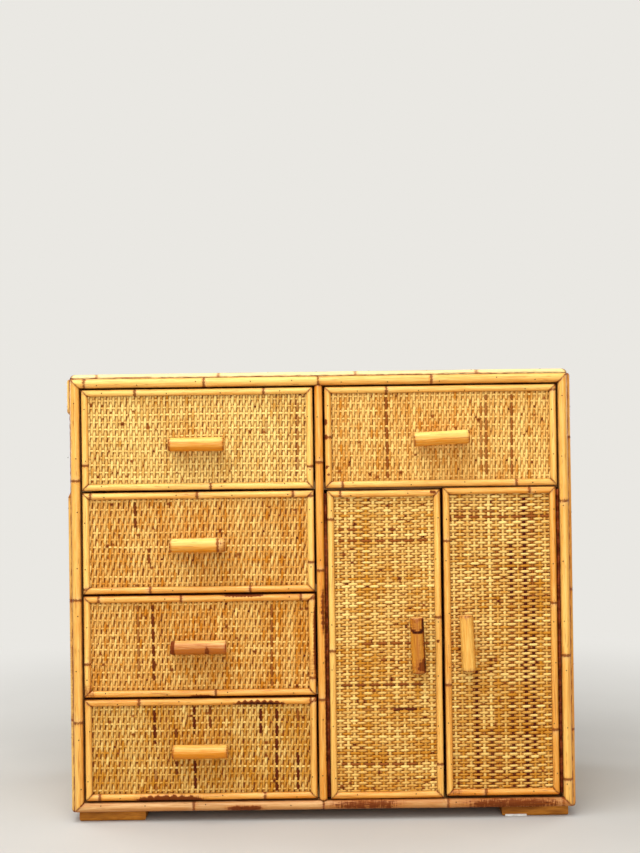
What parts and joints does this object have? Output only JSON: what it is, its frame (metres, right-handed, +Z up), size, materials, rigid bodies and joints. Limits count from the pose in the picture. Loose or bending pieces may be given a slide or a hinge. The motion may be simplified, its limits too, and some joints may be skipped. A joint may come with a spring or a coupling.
{
  "type": "sideboard",
  "caption": "Sideboard faced with split cane poles and woven cane: a bank of drawers beside a drawer over a two-door cupboard, with round pole pulls.",
  "frame": {"origin": "on the floor, in the middle of the overall footprint, pulls included", "axes": "+X along the front to the right as seen from the front, +Y from the front to the back, +Z up"},
  "size_m": [0.991, 0.457, 0.879],
  "materials": {
    "split_pole": "gloss lacquer over split cane pole",
    "round_pole": "gloss lacquer over round cane pole",
    "cane_weave": "lacquered woven cane",
    "case_board": "plain plywood",
    "drawer_wood": "raw softwood",
    "foot_wood": "lacquered wood",
    "hinge_brass": "dull brass plate",
    "plated_steel": "zinc plate",
    "catch_plastic": "matt",
    "white_strip": "matt"
  },
  "bodies": {
    "case": {"left_side_panel": "case_board", "right_side_panel": "case_board", "top_panel": "case_board", "bottom_panel": "case_board", "back_panel": "case_board", "centre_partition": "case_board", "cupboard_top_board": "case_board", "cupboard_shelf": "case_board", "runners_and_cleats": "case_board", "side_weave": "cane_weave", "top_weave": "cane_weave", "front_face_poles": "split_pole", "top_edge_poles": "split_pole", "side_edge_poles": "split_pole", "feet": "foot_wood", "foot_glide_strip": "white_strip", "hinge_case_leaves": "hinge_brass", "door_catches": "catch_plastic"},
    "left_drawer_1": {"left_drawer_1_front_board": "case_board", "left_drawer_1_weave": "cane_weave", "left_drawer_1_frame_poles": "split_pole", "left_drawer_1_pull": "round_pole", "left_drawer_1_pull_screws": "plated_steel", "left_drawer_1_box": "drawer_wood"},
    "left_drawer_2": {"left_drawer_2_front_board": "case_board", "left_drawer_2_weave": "cane_weave", "left_drawer_2_frame_poles": "split_pole", "left_drawer_2_pull": "round_pole", "left_drawer_2_pull_screws": "plated_steel", "left_drawer_2_box": "drawer_wood"},
    "left_drawer_3": {"left_drawer_3_front_board": "case_board", "left_drawer_3_weave": "cane_weave", "left_drawer_3_frame_poles": "split_pole", "left_drawer_3_pull": "round_pole", "left_drawer_3_pull_screws": "plated_steel", "left_drawer_3_box": "drawer_wood"},
    "left_drawer_4": {"left_drawer_4_front_board": "case_board", "left_drawer_4_weave": "cane_weave", "left_drawer_4_frame_poles": "split_pole", "left_drawer_4_pull": "round_pole", "left_drawer_4_pull_screws": "plated_steel", "left_drawer_4_box": "drawer_wood"},
    "right_drawer": {"right_drawer_front_board": "case_board", "right_drawer_weave": "cane_weave", "right_drawer_frame_poles": "split_pole", "right_drawer_pull": "round_pole", "right_drawer_pull_screws": "plated_steel", "right_drawer_box": "drawer_wood"},
    "left_door": {"left_door_front_board": "case_board", "left_door_weave": "cane_weave", "left_door_frame_poles": "split_pole", "left_door_pull": "round_pole", "left_door_fittings": "plated_steel", "left_door_hinge_leaf": "hinge_brass"},
    "right_door": {"right_door_front_board": "case_board", "right_door_weave": "cane_weave", "right_door_frame_poles": "split_pole", "right_door_pull": "round_pole", "right_door_fittings": "plated_steel", "right_door_hinge_leaf": "hinge_brass"}
  },
  "joints": [
    {"name": "left_drawer_1_slide", "type": "slide", "parent": "case", "child": "left_drawer_1", "axis": [0, -1, 0], "range_m": [0, 0.3]},
    {"name": "left_drawer_2_slide", "type": "slide", "parent": "case", "child": "left_drawer_2", "axis": [0, -1, 0], "range_m": [0, 0.3]},
    {"name": "left_drawer_3_slide", "type": "slide", "parent": "case", "child": "left_drawer_3", "axis": [0, -1, 0], "range_m": [0, 0.3]},
    {"name": "left_drawer_4_slide", "type": "slide", "parent": "case", "child": "left_drawer_4", "axis": [0, -1, 0], "range_m": [0, 0.3]},
    {"name": "right_drawer_slide", "type": "slide", "parent": "case", "child": "right_drawer", "axis": [0, -1, 0], "range_m": [0, 0.3]},
    {"name": "left_door_hinge", "type": "hinge", "parent": "case", "child": "left_door", "pos_m": [0.01125, -0.19425, 0.04], "axis": [0, 0, 1], "range_deg": [-110, 0]},
    {"name": "right_door_hinge", "type": "hinge", "parent": "case", "child": "right_door", "pos_m": [0.46675, -0.19425, 0.043], "axis": [0, 0, 1], "range_deg": [0, 110]}
  ]
}
